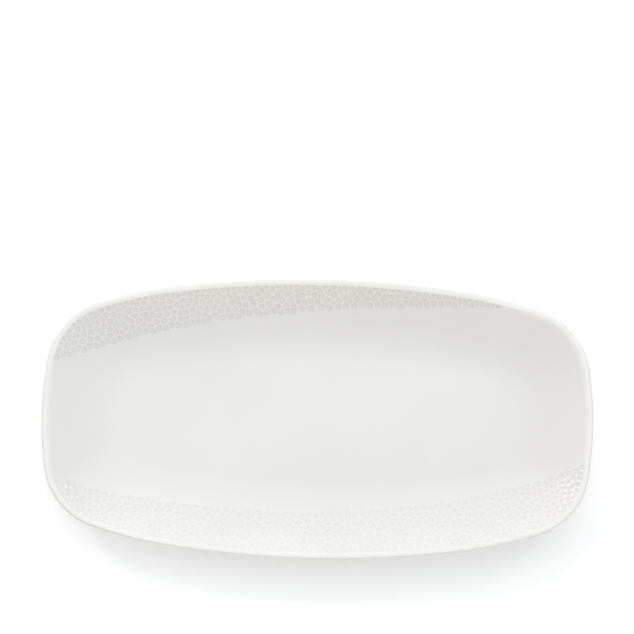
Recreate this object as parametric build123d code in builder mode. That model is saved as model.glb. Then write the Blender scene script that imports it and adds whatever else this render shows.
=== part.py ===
"""Long plate: one fired ceramic body, a shallow oblong dish with bulging long sides.

+X runs along the plate, +Y across it and +Z up. The origin is on the standing plane,
under the middle of the dish.
"""
import os
from math import asin, atan2, degrees, sqrt

from build123d import *

# Overall size, in millimetres
plate_length = 298.0
plate_width = 153.0
plate_height = 20.0

# Rim outline: each quarter is four arcs that run smoothly into each other, from the middle of
# the long side over its shoulder and round the corner to the middle of the short end. The drop
# and the fall are how far the outline has come in where the shoulder and the corner start.
shoulder_run = 71.0
shoulder_drop = 5.34
corner_fall = 13.5
corner_radius = 39.0
end_radius = 202.0

# Lip that runs round the rim: rounded on top and bevelled underneath
lip_width = 3.6
lip_depth = 3.4
lip_outer_round = 1.7
lip_inner_round = 3.2
lip_bevel = 1.2

# Dish: a curved wall runs from the rim in to a flat well
wall_run = 43.0
well_thickness = 4.5

# Foot ring under the edge of the well
foot_height = 3.0
foot_lead = 4.5
foot_width = 4.6
foot_draft = 0.5
foot_sole_bevel = 0.7
foot_root_bevel = 1.0
foot_flare = 2.0

# Places of the wall's sections between its top and the well, and how fast the wall flattens
wall_shares = (0.0, 0.12, 0.26, 0.42, 0.58, 0.74, 0.88, 1.0)
wall_power = 1.75

# Place of the well's corners between the rim's and where the two of a short end would meet
well_corner_share = 0.7

# Long side: an arc as high as the shoulder's drop
side_reach = plate_length / 2 - shoulder_run
side_radius = (side_reach**2 + shoulder_drop**2) / (2 * shoulder_drop)
side_centre = Vector(0, plate_width / 2 - side_radius)
side_angle = degrees(asin(side_reach / side_radius))

# Short end, and the centre of the corner that touches it
end_centre = Vector(plate_length / 2 - end_radius, 0)
corner_across = plate_width / 2 - corner_fall - corner_radius
corner_along = sqrt((end_radius - corner_radius) ** 2 - corner_across**2)
rim_corner = end_centre + Vector(corner_along, corner_across)

# Shoulder: the arc that carries on from the long side and touches the corner
shoulder_start = Vector(side_reach, plate_width / 2 - shoulder_drop)
shoulder_normal = Vector(0, 1).rotate(Axis.Z, -side_angle)
corner_to_start = shoulder_start - rim_corner
shoulder_radius = (corner_to_start.length**2 - corner_radius**2) / (
    2 * (corner_to_start.dot(shoulder_normal) - corner_radius)
)
shoulder_centre = shoulder_start - shoulder_normal * shoulder_radius

# Depth of the corner centres inside the rim: where they would meet, and in the well
end_run = plate_length / 2 - shoulder_centre.X
meeting_depth = shoulder_radius**2 - end_run**2 - shoulder_centre.Y**2
meeting_depth /= 2 * (shoulder_radius - end_run)
well_corner_depth = corner_radius + (meeting_depth - corner_radius) * well_corner_share


def corner_centre(corner_depth):
    """Centre of a corner arc this deep inside both the shoulder arc and the end arc."""
    from_shoulder = shoulder_radius - corner_depth
    from_end = end_radius - corner_depth
    span = end_centre - shoulder_centre
    along = (from_shoulder**2 - from_end**2 + span.length**2) / (2 * span.length)
    across = sqrt(from_shoulder**2 - along**2)
    direction = span.normalized()
    return shoulder_centre + direction * along + direction.rotate(Axis.Z, -90) * across


def outline_section(inset, corner_depth, height):
    """Face at this height whose outline lies this far inside the rim."""
    centre = corner_centre(corner_depth)
    from_end = centre - end_centre
    from_shoulder = centre - shoulder_centre
    end_angle = degrees(atan2(from_end.Y, from_end.X))
    shoulder_angle = degrees(atan2(from_shoulder.Y, from_shoulder.X))
    with BuildSketch(Plane.XY.offset(height)) as section:
        with BuildLine():
            CenterArc(end_centre, end_radius - inset, 0, end_angle)
            CenterArc(centre, corner_depth - inset, end_angle, shoulder_angle - end_angle)
            CenterArc(
                shoulder_centre,
                shoulder_radius - inset,
                shoulder_angle,
                90 - side_angle - shoulder_angle,
            )
            CenterArc(side_centre, side_radius - inset, 90 - side_angle, side_angle)
            mirror(about=Plane.YZ)
            mirror(about=Plane.XZ)
        make_face()
    return section.sketch


def wall_corner_depth(share):
    """Depth of the corner centres at this share of the way from the rim to the well."""
    return corner_radius + (well_corner_depth - corner_radius) * share


def wall_sections(top_inset, top, bottom, reach_share):
    """Sections of a wall that leaves the rim steeply and runs out flat at the well.

    The reach share is the part of the way to the well that the sections go.
    """
    sections = []
    for wall_share in wall_shares:
        share = wall_share * reach_share
        inset = top_inset + (wall_run - top_inset) * share
        height = bottom + (top - bottom) * (1 - share) ** wall_power
        sections.append(outline_section(inset, wall_corner_depth(share), height))
    return sections


def rim_section(inset, height):
    """Section of the lip, whose corners share their centres with the rim's."""
    return outline_section(inset, corner_radius, height)


def foot_section(inset, height):
    """Section of the foot ring, whose corners share their centres with the root's."""
    return outline_section(inset, wall_corner_depth(root_share), height)


# Heights and insets that the features share
lip_bottom = plate_height - lip_depth
well_floor = foot_height + well_thickness
foot_outside = wall_run - foot_lead
foot_inside = foot_outside + foot_width

# Root of the foot ring, where the underside of the wall turns down into it
root_inset = foot_outside - foot_flare
root_share = (root_inset - lip_bevel) / (wall_run - lip_bevel)
root_height = foot_height + (lip_bottom - foot_height) * (1 - root_share) ** wall_power

# Plate: dish, lip and foot ring in one piece, as it is pressed and fired
with BuildPart() as plate:
    # Underside of the wall, from the bottom of the lip in to the root of the foot ring
    loft(wall_sections(lip_bevel, lip_bottom, foot_height, root_share))

    # Lip: a bevel under the rim and an upright edge
    loft([rim_section(lip_bevel, lip_bottom), rim_section(0, lip_bottom + lip_bevel)])
    extrude(rim_section(0, lip_bottom + lip_bevel), amount=lip_depth - lip_bevel)

    # Foot ring: its outside, from the root down to the bevelled sole
    loft(
        [
            foot_section(root_inset, root_height),
            foot_section(foot_outside, foot_height - foot_root_bevel),
            foot_section(foot_outside + foot_draft, foot_sole_bevel),
            foot_section(foot_outside + foot_draft + foot_sole_bevel, 0),
        ],
        ruled=True,
    )

    # Foot ring: its inside, open up to the bottom of the well
    loft(
        [
            foot_section(foot_inside - foot_draft - foot_sole_bevel, 0),
            foot_section(foot_inside - foot_draft, foot_sole_bevel),
            foot_section(foot_inside, foot_height - foot_root_bevel),
            foot_section(foot_inside + foot_root_bevel, foot_height),
        ],
        ruled=True,
        mode=Mode.SUBTRACT,
    )

    # Inside of the dish
    loft(wall_sections(lip_width, plate_height, well_floor, 1), mode=Mode.SUBTRACT)

    # Lip: its flat top is rounded over to the dish and to the outside
    lip_top = plate.faces().filter_by(Axis.Z).sort_by(Axis.Z)[-1]
    fillet(lip_top.inner_wires()[0].edges(), lip_inner_round)
    lip_top = plate.faces().filter_by(Axis.Z).sort_by(Axis.Z)[-1]
    fillet(lip_top.outer_wire().edges(), lip_outer_round)

plate.part.label = "plate"

os.makedirs("parts", exist_ok=True)
export_step(plate.part, "parts/plate.step")
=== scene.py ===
"""Looks of the long plate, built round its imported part.

The file is laid out as an add-on and is run as a script. It models the glazed plate with its
two bands of pebbled relief, gives it its glaze, and sets up the floor, the lights and the
camera.
"""
from math import asin, atan2, cos, exp, log, pi, radians, sin, sqrt
from random import Random

import bmesh
import bpy
from bpy.props import FloatProperty, FloatVectorProperty, IntProperty, PointerProperty
from bpy.types import Operator, Panel, PropertyGroup
from mathutils import Matrix, Vector
from mathutils.kdtree import KDTree


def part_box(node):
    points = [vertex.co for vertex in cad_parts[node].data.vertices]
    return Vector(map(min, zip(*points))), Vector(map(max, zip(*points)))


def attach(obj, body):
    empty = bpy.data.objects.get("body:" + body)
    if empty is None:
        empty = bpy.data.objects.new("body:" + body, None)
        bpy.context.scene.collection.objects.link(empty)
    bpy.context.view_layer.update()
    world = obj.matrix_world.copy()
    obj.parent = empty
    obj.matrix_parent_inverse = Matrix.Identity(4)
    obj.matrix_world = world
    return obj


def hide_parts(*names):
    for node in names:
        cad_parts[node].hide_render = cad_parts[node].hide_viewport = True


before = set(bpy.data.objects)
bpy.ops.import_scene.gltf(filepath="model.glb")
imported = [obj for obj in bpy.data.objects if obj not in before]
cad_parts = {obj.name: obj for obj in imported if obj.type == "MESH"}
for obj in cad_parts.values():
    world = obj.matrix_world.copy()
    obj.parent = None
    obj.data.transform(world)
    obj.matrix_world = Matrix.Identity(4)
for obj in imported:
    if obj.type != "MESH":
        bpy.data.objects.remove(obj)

bl_info = {
    "name": "Long plate",
    "version": (1, 0, 0),
    "blender": (4, 5, 0),
    "location": "3D View > Sidebar > Plate",
    "description": "Models a long glazed plate with pebbled relief along its sides",
    "category": "Add Mesh",
}

PLATE_LOW, PLATE_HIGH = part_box("plate")

# Points round a quarter of the rim: on the end, the corner, the shoulder and the long side
ARC_STEPS = (14, 20, 20, 38)
QUARTER_STEPS = sum(ARC_STEPS)
RIM_STEPS = 4 * QUARTER_STEPS

# Steps down the wall and over the lip's top
WALL_RINGS = 20
LIP_RINGS = 3

# Where the rings lie over the lip's edge, under it and below the wall
EDGE_SHARES = (0, 0.2, 0.4, 0.6, 0.8, 1)
UNDER_EDGE_SHARES = (0, 0.33, 0.66, 1)
UNDER_EDGE_TURN = radians(60)
UNDERSIDE_SHARES = (0.03, 0.08, 0.15, 0.23, 0.32, 0.42, 0.53, 0.64, 0.74, 0.82)

# Sizes of the rings in the well and inside the foot, against the ring that they start from
WELL_SCALES = (0.92, 0.75, 0.5, 0.2)
INNER_SCALES = (0.8, 0.5, 0.2)

# Faces across each rounding of the foot ring
ROUND_STEPS = 4

# Wall share of the points that lie off the wall, and how far a share may be off by rounding
NO_SHARE = -9
SHARE_ROUNDING = 1e-6

# Digits to which a point's turn and wall share are the same in every run
TURN_DIGITS = 2
SHARE_DIGITS = 4

# Middles of hollows that are looked at for every point of the relief
NEAREST_MIDDLES = 6

# Parts of the noise between which the glaze thickens and its gloss changes, and how much
CLOUD_SPAN = (0.35, 0.65)
GLOSS_SPAN = (0.3, 0.7)
GLOSS_SPREAD = 0.2

# How many finer noises the clouds and the slow waves hold
CLOUD_DETAIL = 4
RIPPLE_DETAIL = 2

# Radii of a speck's full and faded part, with the distance between specks as 1
SPECK_SPAN = (0.006, 0.014)

# The camera's sensor in millimetres and the farthest that it sees in metres
SENSOR_WIDTH = 36
CLIP_END = 50

# Soft bright sides of the sky: direction, sharpness, and colour times strength
SKY = (
    ((0, 0, 1), 12, (0.92, 0.97, 1.11)),
    ((0, 0.707, 0.707), 3, (1.41, 1.42, 1.35)),
    ((0, 1, 0), 3, (0.38, 0.4, 0.56)),
    ((0, -1, 0), 12, (2.2, 2.2, 2.05)),
    ((0, -1, 0), 3, (0.53, 0.53, 0.49)),
    ((-0.707, -0.707, 0), 12, (1.2, 1.05, 0.9)),
    ((-0.82, 0.57, 0), 3, (1.43, 1.37, 1.29)),
    ((0.82, -0.57, 0), 3, (1.78, 1.76, 1.72)),
)


def length(name, description, default):
    """A property that holds a length in metres."""
    return FloatProperty(
        name=name, description=description, default=default, precision=5, unit="LENGTH"
    )


def colour(name, description, default):
    """A property that holds an opaque colour."""
    return FloatVectorProperty(
        name=name, description=description, default=default, size=4, min=0, max=1, subtype="COLOR"
    )


class PlateForm(PropertyGroup):
    """Sizes of the plate's body."""

    length: length("Length", "Length over the rim", PLATE_HIGH.x - PLATE_LOW.x)
    width: length("Width", "Width over the rim", PLATE_HIGH.y - PLATE_LOW.y)
    height: length("Height", "Height from the table to the lip", PLATE_HIGH.z - PLATE_LOW.z)
    shoulder_run: length("Shoulder run", "From the end to where the shoulder starts", 0.071)
    shoulder_drop: length("Shoulder drop", "How far the rim has come in at the shoulder", 0.00534)
    corner_fall: length("Corner fall", "How far the rim has come in at the corner", 0.0135)
    corner_radius: length("Corner radius", "Radius of the rim's corners", 0.039)
    end_radius: length("End radius", "Radius of the short ends", 0.202)
    lip_width: length("Lip width", "From the rim to where the wall would meet the top", 0.003)
    # Where the lip's lightening is strongest and where it ends.
    lip_crest: length("Lip crest", "From the rim to where the lip's glaze is thinnest", 0.003)
    lip_fade: length("Lip fade", "From the rim to where the lip's thin glaze ends", 0.0037)
    lip_depth: length("Lip depth", "Thickness of the lip", 0.0034)
    # Depth below the lip's top over which the painted shade on the outer edge comes in.
    edge_drop: length("Edge drop", "How far below the lip the glaze has gathered", 0.0002)
    lip_outer_round: length("Lip outer round", "Radius of the lip's outer edge", 0.0012)
    lip_blend: FloatProperty(
        name="Lip blend",
        description="Share of the wall that curves over into the lip",
        default=0.03,
        subtype="FACTOR",
    )
    lip_under_round: length("Lip under round", "Radius under the lip", 0.0012)
    wall_run: length("Wall run", "From the rim to the well", 0.043)
    well_thickness: length("Well thickness", "Thickness of the body in the well", 0.0045)
    foot_height: length("Foot height", "Height of the foot ring", 0.003)
    foot_lead: length("Foot lead", "How far the foot ring stands outside the well", 0.0045)
    foot_width: length("Foot width", "Width of the foot ring at its root", 0.0046)
    foot_draft: length("Foot draft", "How much each side of the foot ring leans in", 0.0005)
    foot_root_round: length("Foot root round", "Width of the rounding at the foot's root", 0.0012)
    sole_round: length("Sole round", "Width of the rounding at the foot's sole", 0.0008)
    wall_power: FloatProperty(
        name="Wall power", description="How fast the wall flattens", default=1.75, min=1
    )
    well_corner_share: FloatProperty(
        name="Well corner share",
        description="Place of the well's corners, from the rim's to where they would meet",
        default=0.7,
        subtype="FACTOR",
    )


class ReliefForm(PropertyGroup):
    """Sizes of the pebbled relief along the two long sides."""

    spacing: length("Spacing", "Least distance between the hollows' first middles", 0.003)
    first_inset: length("First inset", "How far inside the rim the relief starts", 0.0031)
    rounds: IntProperty(
        name="Rounds", description="How often the middles are evened out", default=1
    )
    cuts: IntProperty(
        name="Cuts", description="How often the wall's faces are cut to hold the relief", default=4
    )
    depth: length("Depth", "Depth of each hollow", 0.00014)
    ridge: length("Ridge", "Width of the ridges between the hollows", 0.0004)
    blend: length("Blend", "How far the hollows' corners are rounded over", 0.0002)
    bank: length("Bank", "Width of each hollow's sloping bank", 0.0006)
    # Painted shade: the near band faces the light, so its hollows darken less than the far band's.
    near_pooling_and_shade: FloatProperty(
        name="Near pooling",
        description="How much of the far band's pooled glaze the near band has",
        default=0.46,
        subtype="FACTOR",
    )
    # Width over which a hollow's darkening, pooled glaze and painted shade, comes in.
    pool_and_shade_edge: length("Pool edge", "Width over which the glaze thickens into a hollow", 0.00045)
    # How much lighter a hollow's middle is than its ring of pooled glaze and painted shade.
    pool_and_shade_middle: FloatProperty(
        name="Pool middle",
        description="How much less glaze has pooled in the middle of a hollow than round it",
        default=0.45,
        subtype="FACTOR",
    )
    reach: length("Reach", "How far a hollow reaches from its middle", 0.0024)
    seed: IntProperty(name="Seed", description="Start of the random layout", default=7)
    far_places: FloatVectorProperty(
        name="Far places",
        description="Places along the plate where the far band's border is set",
        default=(-0.14, -0.06, 0.02, 0.1),
        size=4,
        unit="LENGTH",
    )
    far_border: FloatVectorProperty(
        name="Far border",
        description="Distance of the far band's border from the middle at those places",
        default=(0.029, 0.0517, 0.0606, 0.0627),
        size=4,
        unit="LENGTH",
    )
    near_places: FloatVectorProperty(
        name="Near places",
        description="Places along the plate where the near band's border is set",
        default=(-0.14, -0.045, 0.05, 0.145),
        size=4,
        unit="LENGTH",
    )
    near_border: FloatVectorProperty(
        name="Near border",
        description="Distance of the near band's border from the middle at those places",
        default=(0.036, 0.0487, 0.0455, 0.0218),
        size=4,
        unit="LENGTH",
    )


class GlazeLook(PropertyGroup):
    """Colours and gloss of the plate."""

    glaze: colour("Glaze", "Colour of the glaze on the flat", (0.811, 0.805, 0.786, 1))
    # Lighter colour given to the lip.
    lighter_lip: colour("Thin glaze", "Colour of the thin glaze on the lip", (0.865, 0.858, 0.836, 1))
    # Darker colour of the hollows: thicker glaze and painted shade.
    pooled_and_shade: colour(
        "Pooled glaze", "Colour of the thicker glaze in the hollows", (0.682, 0.674, 0.652, 1)
    )
    # Painted shade: a darker line round the lip's outer edge.
    edge_shade: colour(
        "Gathered glaze", "Colour of the glaze round the lip's outer edge", (0.71, 0.71, 0.71, 1)
    )
    clay: colour("Clay", "Colour of the bare fired sole", (0.74, 0.7, 0.62, 1))
    speck: colour("Speck", "Colour of the small specks in the glaze", (0.5, 0.48, 0.44, 1))
    speckle: FloatProperty(
        name="Speckle", description="How plain the specks are", default=0.5, subtype="FACTOR"
    )
    cloudiness: FloatProperty(
        name="Cloudiness",
        description="How unevenly thick the glaze is",
        default=0.2,
        subtype="FACTOR",
    )
    cloud_scale: FloatProperty(
        name="Cloud scale", description="How closely the thick and thin parts follow", default=14
    )
    speck_scale: FloatProperty(
        name="Speck scale", description="How closely the specks lie", default=34
    )
    roughness: FloatProperty(
        name="Roughness", description="Roughness of the glaze", default=0.11, subtype="FACTOR"
    )
    refraction: FloatProperty(
        name="Refraction", description="How much the glaze bends light", default=1.5, min=1
    )
    clay_roughness: FloatProperty(
        name="Clay roughness",
        description="Roughness of the bare sole",
        default=0.6,
        subtype="FACTOR",
    )
    ripple: length("Ripple", "Height of the slow waves in the glaze", 0.00002)
    ripple_scale: FloatProperty(
        name="Ripple scale", description="How closely the slow waves follow", default=90
    )
    bare_height: length("Bare height", "How high above the table the glaze starts", 0.0006)


class StudioLook(PropertyGroup):
    """Floor, light and camera."""

    floor: colour("Floor", "Colour of the floor", (0.945, 0.95, 0.96, 1))
    floor_roughness: FloatProperty(
        name="Floor roughness", description="Roughness of the floor", default=0.9, subtype="FACTOR"
    )
    floor_glow: FloatProperty(
        name="Floor glow", description="Light that shines through the floor", default=0.14
    )
    floor_reach: length("Floor reach", "From the middle of the floor to its sides", 6)
    lamp_place: FloatVectorProperty(
        name="Lamp place",
        description="Place of the right lamp; the left one mirrors it",
        default=(1.36, 1.06, 0.98),
        size=3,
        unit="LENGTH",
    )
    lamp_size: length("Lamp size", "Side of each of the two square lamps", 0.25)
    left_power: FloatProperty(
        name="Left power", description="Power of the left lamp", default=3.9, unit="POWER"
    )
    right_power: FloatProperty(
        name="Right power", description="Power of the right lamp", default=2.6, unit="POWER"
    )
    elevation: FloatProperty(
        name="Elevation",
        description="How high the camera stands",
        default=radians(81.4),
        unit="ROTATION",
    )
    azimuth: FloatProperty(
        name="Azimuth",
        description="How far round the camera stands",
        default=radians(1.23),
        unit="ROTATION",
    )
    distance: length("Distance", "From the camera to the middle of the dish", 2.384)
    aim_drop: length("Aim drop", "How far below the lip the camera's circle has its middle", 0.0018)
    lift: FloatProperty(
        name="Lift",
        description="How far above the plate the camera points",
        default=radians(1.3214),
        unit="ROTATION",
    )
    swing: FloatProperty(
        name="Swing",
        description="How far beside the plate the camera points",
        default=radians(0.0052),
        unit="ROTATION",
    )
    focal_length: FloatProperty(
        name="Focal length", description="Focal length of the lens in mm", default=250.6
    )


class Outline:
    """The plate's outline at any depth inside its rim: four arcs to a quarter."""

    def __init__(self, form):
        reach = form.length / 2 - form.shoulder_run
        self.side_radius = (reach**2 + form.shoulder_drop**2) / (2 * form.shoulder_drop)
        self.side_centre = Vector((0, form.width / 2 - self.side_radius))
        self.side_start = pi / 2 - asin(reach / self.side_radius)
        self.end_radius = form.end_radius
        self.end_centre = Vector((form.length / 2 - form.end_radius, 0))
        self.corner_radius = form.corner_radius
        across = form.width / 2 - form.corner_fall - form.corner_radius
        along = sqrt((form.end_radius - form.corner_radius) ** 2 - across**2)
        start = Vector((reach, form.width / 2 - form.shoulder_drop))
        normal = Vector((cos(self.side_start), sin(self.side_start)))
        gap = start - self.end_centre - Vector((along, across))
        self.shoulder_radius = (gap.length_squared - form.corner_radius**2) / (
            2 * (gap.dot(normal) - form.corner_radius)
        )
        self.shoulder_centre = start - normal * self.shoulder_radius
        run = form.length / 2 - self.shoulder_centre.x
        meeting = self.shoulder_radius**2 - run**2 - self.shoulder_centre.y**2
        meeting /= 2 * (self.shoulder_radius - run)
        self.well_depth = self.corner_depth_between(meeting, form.well_corner_share)

    def corner_depth_between(self, deepest, share):
        """Depth of a corner's centre at this share of the way from the rim's to the deepest."""
        return self.corner_radius + (deepest - self.corner_radius) * share

    def wall_depth(self, share):
        """Depth of a corner's centre at this share of the way from the lip to the well."""
        return self.corner_depth_between(self.well_depth, max(share, 0))

    def corner_centre(self, depth):
        """Centre of the corner arc this deep inside both the shoulder arc and the end arc."""
        from_shoulder = self.shoulder_radius - depth
        from_end = self.end_radius - depth
        span = self.end_centre - self.shoulder_centre
        along = (from_shoulder**2 - from_end**2 + span.length_squared) / (2 * span.length)
        across = sqrt(from_shoulder**2 - along**2)
        direction = span.normalized()
        side = Vector((direction.y, -direction.x))
        return self.shoulder_centre + direction * along + side * across

    def point(self, turn, inset, depth):
        """Point on the outline this far inside the rim, counted in steps from the right end."""
        quarter, step = divmod(turn % RIM_STEPS, QUARTER_STEPS)
        if quarter % 2:
            step = QUARTER_STEPS - step
        centre = self.corner_centre(depth)
        to_end = centre - self.end_centre
        to_shoulder = centre - self.shoulder_centre
        end_stop = atan2(to_end.y, to_end.x)
        corner_stop = atan2(to_shoulder.y, to_shoulder.x)
        arcs = (
            (self.end_centre, self.end_radius - inset, 0, end_stop),
            (centre, depth - inset, end_stop, corner_stop),
            (self.shoulder_centre, self.shoulder_radius - inset, corner_stop, self.side_start),
            (self.side_centre, self.side_radius - inset, self.side_start, pi / 2),
        )
        for steps, (middle, radius, start, stop) in zip(ARC_STEPS, arcs):
            if step <= steps:
                break
            step -= steps
        angle = start + (stop - start) * step / steps
        x = middle.x + radius * cos(angle)
        y = middle.y + radius * sin(angle)
        return Vector((-x if quarter in (1, 2) else x, -y if quarter in (2, 3) else y))


class RingBuilder:
    """Grows a mesh ring by ring round the plate and remembers where each point stands."""

    def __init__(self, outline):
        self.outline = outline
        self.mesh = bmesh.new()
        self.turn = self.mesh.verts.layers.float.new("turn")
        self.share = self.mesh.verts.layers.float.new("wall_share")
        # Weight of the hollows' darkening: pooled glaze and painted shade.
        self.pooled_and_shade = self.mesh.verts.layers.float.new("pooled_glaze_and_shade")
        # Weight of the lip's lighter colour.
        self.lighter_lip = self.mesh.verts.layers.float.new("lighter_lip_tone")
        # Weight of the painted shade round the lip's outer edge.
        self.edge_shade = self.mesh.verts.layers.float.new("painted_edge_shade")
        self.ring = bmesh.ops.create_circle(self.mesh, segments=RIM_STEPS, radius=1)["verts"]
        for step, vert in enumerate(self.ring):
            vert[self.turn] = step
            vert[self.share] = NO_SHARE

    def edges(self):
        """Edges of the newest ring."""
        ring = set(self.ring)
        return [
            edge
            for vert in self.ring
            for edge in vert.link_edges
            if edge.verts[0] == vert and edge.other_vert(vert) in ring
        ]

    def grow(self):
        """Adds one more ring next to the newest one."""
        grown = bmesh.ops.extrude_edge_only(self.mesh, edges=self.edges())["geom"]
        self.ring = [g for g in grown if isinstance(g, bmesh.types.BMVert)]
        for vert in self.ring:
            vert[self.share] = NO_SHARE

    def place(self, inset, height, depth, share=NO_SHARE):
        """Puts the newest ring on the outline, and notes its share of the wall."""
        for vert in self.ring:
            vert.co = self.outline.point(vert[self.turn], inset, depth).to_3d()
            vert.co.z = height
            vert[self.share] = share

    def standing(self, vert):
        """Where a point stands, rounded so that the points sort the same in every run."""
        return round(vert[self.turn], TURN_DIGITS), round(vert[self.share], SHARE_DIGITS)

    def close(self, scales):
        """Closes the newest ring with smaller and smaller rings and a fan."""
        for scale, previous in zip(scales, (1, *scales)):
            self.grow()
            bmesh.ops.scale(self.mesh, vec=(scale / previous, scale / previous, 1), verts=self.ring)
        cap = bmesh.ops.contextual_create(self.mesh, geom=self.edges())["faces"]
        bmesh.ops.poke(self.mesh, faces=cap)


def wall_height(form, share):
    """Height of the dish's plain wall at this share of the way from the lip to the well."""
    floor = form.foot_height + form.well_thickness
    return floor + (form.height - floor) * (1 - share) ** form.wall_power


def lip_curve(form):
    """Inset where the lip starts to curve into the wall, and the radius of that curve."""
    run = form.wall_run - form.lip_width
    drop = form.height - wall_height(form, form.lip_blend)
    steepness = (form.height - drop - form.foot_height - form.well_thickness) * form.wall_power
    slope = atan2(steepness / (1 - form.lip_blend), run)
    radius = drop / (1 - cos(slope))
    return form.lip_width + run * form.lip_blend - radius * sin(slope), radius


def wall_place(form, share):
    """Inset and height of the dish at this share, which is less than zero on the lip."""
    inset = form.lip_width + (form.wall_run - form.lip_width) * share
    if share >= form.lip_blend:
        return inset, wall_height(form, share)
    start, radius = lip_curve(form)
    return inset, form.height - radius + sqrt(radius**2 - (inset - start) ** 2)


def underside_place(form, share):
    """Inset and height of the wall's underside at this share of the way to the well."""
    top = form.height - form.lip_depth
    inset = form.lip_under_round + (form.wall_run - form.lip_under_round) * share
    return inset, form.foot_height + (top - form.foot_height) * (1 - share) ** form.wall_power


def lip_profile(form):
    """Insets and heights over the lip's outer edge and under the rim."""
    profile = []
    for share in EDGE_SHARES:
        angle = pi / 2 * share
        inset = form.lip_outer_round * (1 - sin(angle))
        profile.append((inset, form.height - form.lip_outer_round * (1 - cos(angle))))
    bottom = form.height - form.lip_depth + form.lip_under_round
    for share in UNDER_EDGE_SHARES:
        angle = UNDER_EDGE_TURN * share
        inset = form.lip_under_round * (1 - cos(angle))
        profile.append((inset, bottom - form.lip_under_round * sin(angle)))
    return profile


def curve_through(places, values, x):
    """Height at x of the smooth curve that runs through these values at these places."""
    total = 0
    for i, value in enumerate(values):
        for j, place in enumerate(places):
            if j != i:
                value *= (x - place) / (places[i] - place)
        total += value
    return total


def band_depth(relief, point):
    """How far this point lies inside the nearer band of relief; less than zero is outside."""
    if point.y > 0:
        return point.y - curve_through(relief.far_places, relief.far_border, point.x)
    return -point.y - curve_through(relief.near_places, relief.near_border, point.x)


def refine_bands(rings, relief):
    """Divides the wall's faces in the two bands finely enough to hold the relief."""
    faces = {
        f
        for f in rings.mesh.faces
        if min(v[rings.share] for v in f.verts) >= -SHARE_ROUNDING
        and band_depth(relief, f.calc_center_median()) > -relief.reach
    }
    edges = [e for e in rings.mesh.edges if not faces.isdisjoint(e.link_faces)]
    bmesh.ops.subdivide_edges(rings.mesh, edges=edges, cuts=relief.cuts, use_grid_fill=True)


def place_wall(rings, form):
    """Puts every point of the wall on its smooth surface."""
    for vert in rings.mesh.verts:
        share = vert[rings.share]
        if share >= -SHARE_ROUNDING:
            inset, height = wall_place(form, share)
            spot = rings.outline.point(vert[rings.turn], inset, rings.outline.wall_depth(share))
            vert.co = (spot.x, spot.y, height)


def scatter(points, spacing, random):
    """Some of the points, chosen so that no two are closer than the spacing."""
    chosen = []
    taken = {}
    order = list(points)
    random.shuffle(order)
    for point in order:
        cell = tuple(int(c // spacing) for c in point)
        near = (
            other
            for x in (-1, 0, 1)
            for y in (-1, 0, 1)
            for z in (-1, 0, 1)
            for other in taken.get((cell[0] + x, cell[1] + y, cell[2] + z), ())
        )
        if all((other - point).length_squared > spacing**2 for other in near):
            chosen.append(point.copy())
            taken.setdefault(cell, []).append(point)
    return chosen


def tree_of(points):
    """A search tree over these points."""
    tree = KDTree(len(points))
    for i, point in enumerate(points):
        tree.insert(point, i)
    tree.balance()
    return tree


def even_out(seeds, points, rounds):
    """Moves each seed to the middle of the points nearest to it, a few times over."""
    for _ in range(rounds):
        tree = tree_of(seeds)
        sums = [Vector() for _ in seeds]
        counts = [0] * len(seeds)
        for point in points:
            _, i, _ = tree.find(point)
            sums[i] += point
            counts[i] += 1
        seeds = [s / n if n else seed for s, n, seed in zip(sums, counts, seeds)]
    return seeds


def smooth_least(values, blend):
    """About the least of the values, with its corners rounded over by the blend."""
    least = min(values)
    return least - blend * log(sum(exp((least - v) / blend) for v in values))


def inside_hollow(relief, tree, point, from_lip):
    """How far this point lies inside the rim of the nearest hollow; less than zero is outside."""
    found = tree.find_n(point, NEAREST_MIDDLES)
    nearest, _, distance = found[0]
    edges = [relief.reach - distance, from_lip]
    for other, _, farther in found[1:]:
        edges.append((farther**2 - distance**2) / (2 * (other - nearest).length))
    return smooth_least(edges, relief.blend) - relief.ridge / 2


def eased(share):
    """The share, kept from 0 to 1 and eased at both ends."""
    share = min(max(share, 0), 1)
    return share * share * (3 - 2 * share)


def press_relief(rings, form, relief):
    """Presses the pebbled hollows into the two bands of the wall, and weighs their darkening by
    pooled glaze and painted shade.
    """
    verts = [
        v
        for v in rings.mesh.verts
        if v[rings.share] > 0 and band_depth(relief, v.co) > -2 * relief.reach
    ]
    verts.sort(key=rings.standing)
    points = [v.co.copy() for v in verts if band_depth(relief, v.co) > relief.reach / 2]
    random = Random(relief.seed)
    seeds = even_out(scatter(points, relief.spacing, random), points, relief.rounds)
    tree = tree_of(seeds)
    rings.mesh.normal_update()
    moves = []
    for vert in verts:
        from_lip = wall_place(form, vert[rings.share])[0] - relief.first_inset
        inside = inside_hollow(relief, tree, vert.co, from_lip)
        moves.append((vert, vert.co - vert.normal * relief.depth * eased(inside / relief.bank)))
        # A hollow darkens most in a ring round its middle, from pooled glaze and painted shade; the
        # near band, which faces the light, darkens less.
        pooled_and_shade = eased(inside / relief.pool_and_shade_edge)
        pooled_and_shade *= 1 - relief.pool_and_shade_middle * eased(inside / relief.pool_and_shade_edge - 1)
        vert[rings.pooled_and_shade] = pooled_and_shade if vert.co.y > 0 else pooled_and_shade * relief.near_pooling_and_shade
    for vert, spot in moves:
        vert.co = spot


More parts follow.
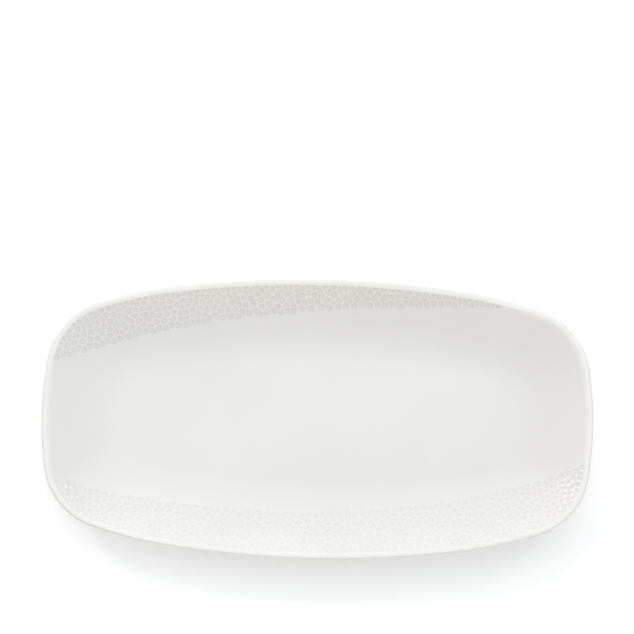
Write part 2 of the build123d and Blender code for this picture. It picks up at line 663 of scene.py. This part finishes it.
def tone_lip_and_edge(rings, form):
    """Notes where the lip is lighter and where painted shade darkens the lip's outer edge."""
    for vert in rings.mesh.verts:
        share = vert[rings.share]
        if share > NO_SHARE / 2:
            inset, _ = wall_place(form, share)
            # The lip is lighter towards its crest.
            vert[rings.lighter_lip] = eased((form.lip_fade - inset) / (form.lip_fade - form.lip_crest))
        else:
            drop = form.height - vert.co.z
            # The lip's outer side stays lighter and fades out further down.
            vert[rings.lighter_lip] = eased(2 - drop / form.lip_depth)
            # Painted shade darkens the lip's outer edge below its top.
            vert[rings.edge_shade] = vert[rings.lighter_lip] * eased(drop / form.edge_drop)


def add_foot(rings, form):
    """Adds the foot ring and rounds its roots and its sole."""
    outside = form.wall_run - form.foot_lead
    inside = outside + form.foot_width
    share = (outside - form.lip_under_round) / (form.wall_run - form.lip_under_round)
    depth = rings.outline.wall_depth(share)
    _, root = underside_place(form, share)
    corners = (
        (outside, root),
        (outside + form.foot_draft, 0),
        (inside - form.foot_draft, 0),
        (inside, form.foot_height),
    )
    loops = []
    for inset, height in corners:
        rings.grow()
        rings.place(inset, height, depth)
        loops.append(rings.edges())
    rings.close(INNER_SCALES)
    sizes = (form.foot_root_round, form.sole_round, form.sole_round, form.foot_root_round)
    for loop, size in zip(loops, sizes):
        bmesh.ops.bevel(
            rings.mesh,
            geom=loop,
            offset=size,
            offset_type="OFFSET",
            segments=ROUND_STEPS,
            profile=0.5,
            affect="EDGES",
            material=-1,
        )


def shape_plate(form, relief):
    """The whole plate as one closed mesh."""
    outline = Outline(form)
    rings = RingBuilder(outline)
    lip_start, _ = lip_curve(form)
    top = (lip_start - form.lip_width) / (form.wall_run - form.lip_width)
    shares = [1 - i / WALL_RINGS for i in range(WALL_RINGS + 1)]
    shares += [top * i / LIP_RINGS for i in range(1, LIP_RINGS + 1)]

    rings.place(*wall_place(form, 1), outline.wall_depth(1), 1)
    well_edge = rings.ring
    for share in shares[1:]:
        rings.grow()
        rings.place(*wall_place(form, share), outline.wall_depth(share), share)
    for inset, height in lip_profile(form):
        rings.grow()
        rings.place(inset, height, outline.wall_depth(0))
    for share in UNDERSIDE_SHARES:
        rings.grow()
        rings.place(*underside_place(form, share), outline.wall_depth(share))
    add_foot(rings, form)

    rings.ring = well_edge
    rings.close(WELL_SCALES)
    refine_bands(rings, relief)
    place_wall(rings, form)
    bmesh.ops.recalc_face_normals(rings.mesh, faces=rings.mesh.faces)
    tone_lip_and_edge(rings, form)
    press_relief(rings, form, relief)
    return rings.mesh


def add_object(name, data):
    """A new object of the scene that holds this mesh, lamp or camera."""
    thing = bpy.data.objects.new(name, data)
    bpy.context.collection.objects.link(thing)
    return thing


def finish_mesh(mesh, name, material):
    """Turns the bmesh into a smooth object with this material."""
    data = bpy.data.meshes.new(name)
    mesh.to_mesh(data)
    mesh.free()
    data.shade_smooth()
    data.materials.append(material)
    return add_object(name, data)


def new_material(name):
    """A material with nodes, and its shader."""
    material = bpy.data.materials.new(name)
    material.use_nodes = True
    return material, material.node_tree.nodes["Principled BSDF"]


def add_mix(nodes, links, factor, first, second):
    """A node that mixes two colours, each a plain one or another node's, by the factor."""
    mix = nodes.new("ShaderNodeMix")
    mix.data_type = "RGBA"
    links.new(factor, mix.inputs["Factor"])
    for name, tone in (("A", first), ("B", second)):
        if isinstance(tone, bpy.types.NodeSocket):
            links.new(tone, mix.inputs[name])
        else:
            mix.inputs[name].default_value = tone
    return mix.outputs["Result"]


def add_range(nodes, links, value, span, result):
    """A node that takes the value from one range to another and stops at its ends."""
    node = nodes.new("ShaderNodeMapRange")
    node.inputs["From Min"].default_value, node.inputs["From Max"].default_value = span
    node.inputs["To Min"].default_value, node.inputs["To Max"].default_value = result
    links.new(value, node.inputs["Value"])
    return node.outputs["Result"]


def add_noise(nodes, links, place, scale, detail):
    """A noise over this place, at this scale and with this much detail."""
    node = nodes.new("ShaderNodeTexNoise")
    node.inputs["Scale"].default_value = scale
    node.inputs["Detail"].default_value = detail
    links.new(place, node.inputs["Vector"])
    return node.outputs["Fac"]


def glaze_material(look):
    """Glossy white glaze, darker in the hollows from thicker glaze and painted shade, with a
    lighter lip and a painted shade line round the lip's outer edge, on a body that is bare under
    the foot.
    """
    material, shader = new_material("white_glaze")
    nodes, links = material.node_tree.nodes, material.node_tree.links
    shader.inputs["IOR"].default_value = look.refraction
    place = nodes.new("ShaderNodeTexCoord").outputs["Object"]

    glazed = look.glaze
    # A lighter lip, painted shade round the lip's outer edge, and the hollows' pooled glaze and
    # painted shade.
    for layer, tone in (
        ("lighter_lip_tone", look.lighter_lip),
        ("painted_edge_shade", look.edge_shade),
        ("pooled_glaze_and_shade", look.pooled_and_shade),
    ):
        share = nodes.new("ShaderNodeAttribute")
        share.attribute_name = layer
        glazed = add_mix(nodes, links, share.outputs["Fac"], glazed, tone)

    cloud = add_noise(nodes, links, place, look.cloud_scale, CLOUD_DETAIL)
    clouded = add_range(nodes, links, cloud, CLOUD_SPAN, (0, look.cloudiness))
    # Random clouds of thicker glaze take the hollows' darker colour.
    glazed = add_mix(nodes, links, clouded, glazed, look.pooled_and_shade)

    speck = nodes.new("ShaderNodeTexVoronoi")
    speck.inputs["Scale"].default_value = look.speck_scale
    links.new(place, speck.inputs["Vector"])
    specked = add_range(nodes, links, speck.outputs["Distance"], SPECK_SPAN, (look.speckle, 0))
    glazed = add_mix(nodes, links, specked, glazed, look.speck)

    height = nodes.new("ShaderNodeSeparateXYZ")
    links.new(place, height.inputs["Vector"])
    edge = (look.bare_height, look.bare_height / 2)
    bare = add_range(nodes, links, height.outputs["Z"], edge, (0, 1))
    surface = add_mix(nodes, links, bare, glazed, look.clay)
    links.new(surface, shader.inputs["Base Color"])

    uneven = (look.roughness * (1 - GLOSS_SPREAD), look.roughness * (1 + GLOSS_SPREAD))
    satin = add_range(nodes, links, cloud, GLOSS_SPAN, uneven)
    rough = nodes.new("ShaderNodeMath")
    rough.operation = "MAXIMUM"
    links.new(satin, rough.inputs[0])
    links.new(add_range(nodes, links, bare, (0, 1), (0, look.clay_roughness)), rough.inputs[1])
    links.new(rough.outputs["Value"], shader.inputs["Roughness"])

    ripple = add_noise(nodes, links, place, look.ripple_scale, RIPPLE_DETAIL)
    waves = nodes.new("ShaderNodeBump")
    waves.inputs["Distance"].default_value = look.ripple
    links.new(ripple, waves.inputs["Height"])
    links.new(waves.outputs["Normal"], shader.inputs["Normal"])
    return material


class PLATE_OT_body(Operator):
    """Model the glazed plate with its relief"""

    bl_idname = "plate.body"
    bl_label = "Glazed plate"

    def execute(self, context):
        scene = context.scene
        mesh = shape_plate(scene.plate_form, scene.plate_relief)
        plate = finish_mesh(mesh, "glazed_plate", glaze_material(scene.plate_glaze))
        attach(plate, "root")
        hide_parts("plate")
        return {"FINISHED"}


def add_lamp(name, spot, size, power):
    """A square soft lamp at this spot that shines at the plate."""
    data = bpy.data.lights.new(name, "AREA")
    data.size = size
    data.energy = power
    light = add_object(name, data)
    light.location = spot
    light.rotation_euler = (-Vector(spot)).to_track_quat("-Z", "Y").to_euler()


def show_from_above(material, shader):
    """Lets the material be seen through from behind, so that the foot shows from below."""
    nodes, links = material.node_tree.nodes, material.node_tree.links
    side = nodes.new("ShaderNodeNewGeometry")
    clear = nodes.new("ShaderNodeBsdfTransparent")
    choice = nodes.new("ShaderNodeMixShader")
    links.new(side.outputs["Backfacing"], choice.inputs["Fac"])
    links.new(shader.outputs["BSDF"], choice.inputs[1])
    links.new(clear.outputs["BSDF"], choice.inputs[2])
    links.new(choice.outputs["Shader"], nodes["Material Output"].inputs["Surface"])


def soft_sky(sides):
    """A sky made of soft bright sides, each given by its direction, sharpness and colour."""
    world = bpy.data.worlds.new("studio")
    world.use_nodes = True
    nodes, links = world.node_tree.nodes, world.node_tree.links
    seen = nodes.new("ShaderNodeTexCoord").outputs["Generated"]
    total = nodes["Background"].inputs["Color"]
    for direction, sharpness, tint in sides:
        toward = nodes.new("ShaderNodeVectorMath")
        toward.operation = "DOT_PRODUCT"
        toward.inputs[1].default_value = direction
        links.new(seen, toward.inputs[0])
        front = nodes.new("ShaderNodeMath")
        front.operation = "MAXIMUM"
        front.inputs[1].default_value = 0
        links.new(toward.outputs["Value"], front.inputs[0])
        glow = nodes.new("ShaderNodeMath")
        glow.operation = "POWER"
        glow.inputs[1].default_value = sharpness
        links.new(front.outputs["Value"], glow.inputs[0])
        tinted = nodes.new("ShaderNodeVectorMath")
        tinted.operation = "MULTIPLY_ADD"
        tinted.inputs[1].default_value = tint
        links.new(glow.outputs["Value"], tinted.inputs[0])
        links.new(tinted.outputs["Vector"], total)
        total = tinted.inputs[2]
    return world


def add_camera(look):
    """A camera that looks down at the plate and frames it below the picture's middle."""
    data = bpy.data.cameras.new("camera")
    data.lens = look.focal_length
    data.sensor_width = SENSOR_WIDTH
    data.clip_end = CLIP_END
    camera = add_object("camera", data)
    level = cos(look.elevation)
    back = Vector((sin(look.azimuth) * level, -cos(look.azimuth) * level, sin(look.elevation)))
    spot = Vector((0, 0, PLATE_HIGH.z - look.aim_drop)) + back * look.distance
    turn = back.to_track_quat("Z", "Y").to_matrix().to_4x4()
    lift = Matrix.Rotation(look.lift, 4, "X") @ Matrix.Rotation(look.swing, 4, "Y")
    camera.matrix_world = Matrix.Translation(spot) @ turn @ lift
    return camera


class PLATE_OT_stage(Operator):
    """Set up the floor, the lights and the camera"""

    bl_idname = "plate.stage"
    bl_label = "Floor, lights and camera"

    def execute(self, context):
        scene = context.scene
        look = scene.plate_studio
        mesh = bmesh.new()
        bmesh.ops.create_grid(mesh, x_segments=1, y_segments=1, size=look.floor_reach)
        material, shader = new_material("pale_floor")
        shader.inputs["Base Color"].default_value = look.floor
        shader.inputs["Roughness"].default_value = look.floor_roughness
        shader.inputs["Emission Color"].default_value = (1, 1, 1, 1)
        shader.inputs["Emission Strength"].default_value = look.floor_glow
        show_from_above(material, shader)
        floor = finish_mesh(mesh, "floor", material)

        scene.world = soft_sky(SKY)
        right, back, up = look.lamp_place
        add_lamp("left_lamp", (-right, back, up), look.lamp_size, look.left_power)
        add_lamp("right_lamp", (right, back, up), look.lamp_size, look.right_power)
        scene.camera = add_camera(look)
        scene.view_settings.view_transform = "Standard"
        return {"FINISHED"}


class PLATE_PT_panel(Panel):
    """Sizes and steps of the long plate"""

    bl_label = "Long plate"
    bl_space_type = "VIEW_3D"
    bl_region_type = "UI"
    bl_category = "Plate"

    def draw(self, context):
        scene = context.scene
        for group in (scene.plate_form, scene.plate_relief, scene.plate_glaze):
            box = self.layout.box()
            for name in group.bl_rna.properties.keys():
                if name not in {"rna_type", "name"}:
                    box.prop(group, name)
        self.layout.operator(PLATE_OT_body.bl_idname)
        box = self.layout.box()
        for name in scene.plate_studio.bl_rna.properties.keys():
            if name not in {"rna_type", "name"}:
                box.prop(scene.plate_studio, name)
        self.layout.operator(PLATE_OT_stage.bl_idname)


CLASSES = (
    PlateForm,
    ReliefForm,
    GlazeLook,
    StudioLook,
    PLATE_OT_body,
    PLATE_OT_stage,
    PLATE_PT_panel,
)


def register():
    """Registers the classes and their settings."""
    for cls in CLASSES:
        bpy.utils.register_class(cls)
    bpy.types.Scene.plate_form = PointerProperty(type=PlateForm)
    bpy.types.Scene.plate_relief = PointerProperty(type=ReliefForm)
    bpy.types.Scene.plate_glaze = PointerProperty(type=GlazeLook)
    bpy.types.Scene.plate_studio = PointerProperty(type=StudioLook)


def unregister():
    """Takes the settings and the classes away again."""
    del bpy.types.Scene.plate_studio
    del bpy.types.Scene.plate_glaze
    del bpy.types.Scene.plate_relief
    del bpy.types.Scene.plate_form
    for cls in reversed(CLASSES):
        bpy.utils.unregister_class(cls)


def main():
    """Builds the plate and its stage."""
    register()
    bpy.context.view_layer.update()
    bpy.ops.plate.body()
    bpy.ops.plate.stage()


if __name__ == "__main__":
    main()
